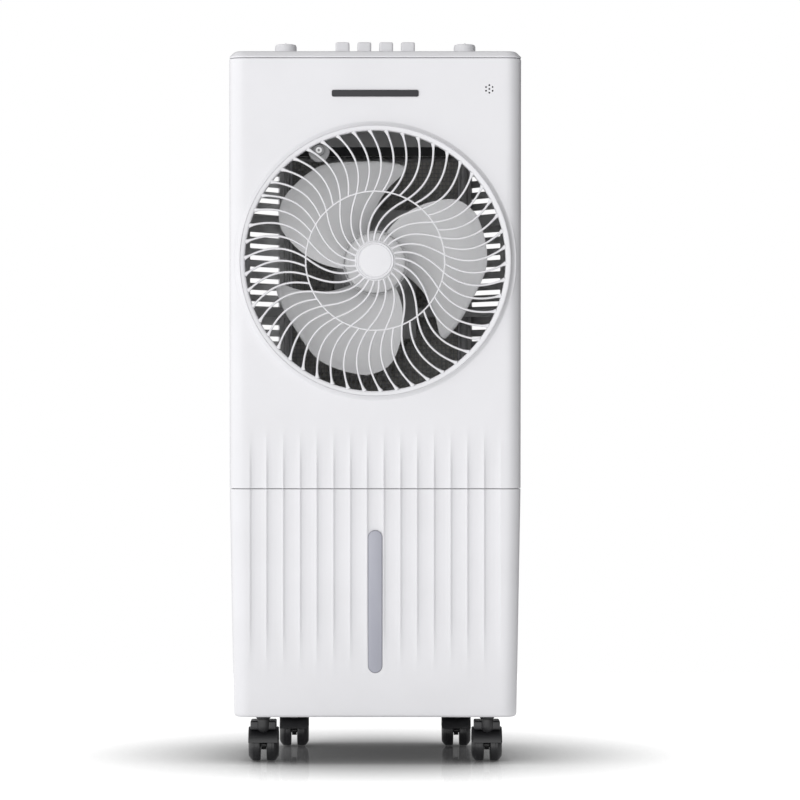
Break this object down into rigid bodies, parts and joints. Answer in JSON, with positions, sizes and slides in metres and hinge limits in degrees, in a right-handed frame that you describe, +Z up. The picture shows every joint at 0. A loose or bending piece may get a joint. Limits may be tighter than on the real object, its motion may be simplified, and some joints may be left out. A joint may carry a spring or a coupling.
{
  "type": "evaporative cooler",
  "caption": "Upright evaporative air cooler: cabinet with round swirl grille and fan, water tank with level window, top knobs and push buttons, rear pad cassette, swivel casters.",
  "frame": {"origin": "on the floor under the middle of the bounding box", "axes": "+Z up, front grille faces -Y, +X to the right seen from the front"},
  "size_m": [0.31, 0.292, 0.77],
  "materials": {
    "white_plastic": "satin moulded",
    "light_grey_plastic": "satin moulded",
    "level_window": "translucent grey",
    "dark_grey_plastic": "matt",
    "black_plastic": "satin",
    "steel": "plated",
    "rubber": "matt",
    "cooling_pad": "cellulose honeycomb"
  },
  "bodies": {
    "cabinet": {"water_tank": "white_plastic", "level_window": "level_window", "front_panel": "white_plastic", "rear_housing": "white_plastic", "top_cover": "white_plastic", "mid_deck": "light_grey_plastic", "nameplate": "dark_grey_plastic", "speed_switch_bank": "black_plastic", "timer_unit": "black_plastic", "function_switch": "black_plastic", "swing_motor": "dark_grey_plastic", "fan_motor": "dark_grey_plastic", "motor_bracket": "dark_grey_plastic", "motor_screw_1": "steel", "motor_screw_2": "steel", "motor_screw_3": "steel", "motor_screw_4": "steel", "motor_capacitor": "black_plastic", "distributor_tray": "dark_grey_plastic", "water_hose": "dark_grey_plastic", "pump_body": "black_plastic", "pump_strainer": "black_plastic", "cord_gland": "black_plastic", "caster_socket_front_left": "black_plastic", "caster_socket_front_right": "black_plastic", "caster_socket_rear_left": "black_plastic", "caster_socket_rear_right": "black_plastic"},
    "fan": {"fan_blades": "light_grey_plastic", "motor_shaft": "steel", "spinner_nut": "light_grey_plastic"},
    "grille": {"front_grille": "white_plastic", "grille_rim": "white_plastic", "grille_cap": "white_plastic"},
    "swing_roller": {"swing_roller": "rubber"},
    "timer_knob": {"timer_knob": "white_plastic", "timer_shaft": "steel"},
    "function_knob": {"function_knob": "white_plastic", "function_shaft": "steel"},
    "button_off": {"button_off": "white_plastic"},
    "button_low": {"button_low": "white_plastic"},
    "button_mid": {"button_mid": "white_plastic"},
    "button_high": {"button_high": "white_plastic"},
    "fill_flap": {"fill_flap": "white_plastic"},
    "drain_plug": {"drain_plug": "light_grey_plastic"},
    "cassette": {"cassette_frame": "white_plastic", "cooling_pad": "cooling_pad", "dust_screen": "dark_grey_plastic", "cassette_pull": "white_plastic"},
    "pump_impeller": {"pump_impeller": "white_plastic"},
    "caster_front_left": {"caster_hood_front_left": "black_plastic"},
    "wheels_front_left": {"caster_wheels_front_left": "black_plastic"},
    "caster_front_right": {"caster_hood_front_right": "black_plastic"},
    "wheels_front_right": {"caster_wheels_front_right": "black_plastic"},
    "caster_rear_left": {"caster_hood_rear_left": "black_plastic"},
    "wheels_rear_left": {"caster_wheels_rear_left": "black_plastic"},
    "caster_rear_right": {"caster_hood_rear_right": "black_plastic"},
    "wheels_rear_right": {"caster_wheels_rear_right": "black_plastic"}
  },
  "joints": [
    {"name": "fan_spin", "type": "hinge", "parent": "cabinet", "child": "fan", "pos_m": [0, -0.058, 0.5333], "axis": [0, 1, 0], "continuous": true},
    {"name": "grille_spin", "type": "hinge", "parent": "cabinet", "child": "grille", "pos_m": [0, -0.141, 0.5333], "axis": [0, 1, 0], "continuous": true},
    {"name": "roller_spin", "type": "hinge", "parent": "cabinet", "child": "swing_roller", "pos_m": [-0.0597, -0.133, 0.65047], "axis": [0, 1, 0], "continuous": true},
    {"name": "timer_turn", "type": "hinge", "parent": "cabinet", "child": "timer_knob", "pos_m": [-0.096, -0.075, 0.756], "axis": [0, 0, -1], "range_deg": [0, 300]},
    {"name": "function_turn", "type": "hinge", "parent": "cabinet", "child": "function_knob", "pos_m": [0.096, -0.075, 0.756], "axis": [0, 0, -1], "range_deg": [0, 270]},
    {"name": "button_off_press", "type": "slide", "parent": "cabinet", "child": "button_off", "axis": [0, 0, -1], "range_m": [0, 0.005], "stiffness_N_per_m": 250},
    {"name": "button_low_press", "type": "slide", "parent": "cabinet", "child": "button_low", "axis": [0, 0, -1], "range_m": [0, 0.005], "stiffness_N_per_m": 250},
    {"name": "button_mid_press", "type": "slide", "parent": "cabinet", "child": "button_mid", "axis": [0, 0, -1], "range_m": [0, 0.005], "stiffness_N_per_m": 250},
    {"name": "button_high_press", "type": "slide", "parent": "cabinet", "child": "button_high", "axis": [0, 0, -1], "range_m": [0, 0.005], "stiffness_N_per_m": 250},
    {"name": "fill_flap_open", "type": "hinge", "parent": "cabinet", "child": "fill_flap", "pos_m": [-0.042, 0.1412, 0.243], "axis": [-1, 0, 0], "range_deg": [0, 75]},
    {"name": "drain_plug_pull", "type": "slide", "parent": "cabinet", "child": "drain_plug", "axis": [0, 1, 0], "range_m": [0, 0.014]},
    {"name": "cassette_pull_out", "type": "slide", "parent": "cabinet", "child": "cassette", "axis": [0, 1, 0], "range_m": [0, 0.08]},
    {"name": "impeller_spin", "type": "hinge", "parent": "cabinet", "child": "pump_impeller", "pos_m": [0.0985, 0.075, 0.08], "axis": [0, 0, 1], "continuous": true},
    {"name": "swivel_front_left", "type": "hinge", "parent": "cabinet", "child": "caster_front_left", "pos_m": [-0.1193, -0.105, 0.045], "axis": [0, 0, 1], "continuous": true},
    {"name": "roll_front_left", "type": "hinge", "parent": "caster_front_left", "child": "wheels_front_left", "pos_m": [-0.1193, -0.089, 0.017], "axis": [1, 0, 0], "continuous": true},
    {"name": "swivel_front_right", "type": "hinge", "parent": "cabinet", "child": "caster_front_right", "pos_m": [0.1193, -0.105, 0.045], "axis": [0, 0, 1], "continuous": true},
    {"name": "roll_front_right", "type": "hinge", "parent": "caster_front_right", "child": "wheels_front_right", "pos_m": [0.1193, -0.089, 0.017], "axis": [1, 0, 0], "continuous": true},
    {"name": "swivel_rear_left", "type": "hinge", "parent": "cabinet", "child": "caster_rear_left", "pos_m": [-0.0903, 0.071, 0.045], "axis": [0, 0, 1], "continuous": true},
    {"name": "roll_rear_left", "type": "hinge", "parent": "caster_rear_left", "child": "wheels_rear_left", "pos_m": [-0.0903, 0.087, 0.017], "axis": [1, 0, 0], "continuous": true},
    {"name": "swivel_rear_right", "type": "hinge", "parent": "cabinet", "child": "caster_rear_right", "pos_m": [0.0903, 0.071, 0.045], "axis": [0, 0, 1], "continuous": true},
    {"name": "roll_rear_right", "type": "hinge", "parent": "caster_rear_right", "child": "wheels_rear_right", "pos_m": [0.0903, 0.087, 0.017], "axis": [1, 0, 0], "continuous": true}
  ],
  "couplings": [
    {"joint": "roller_spin", "follows": "grille_spin", "ratio": 22.983}
  ]
}
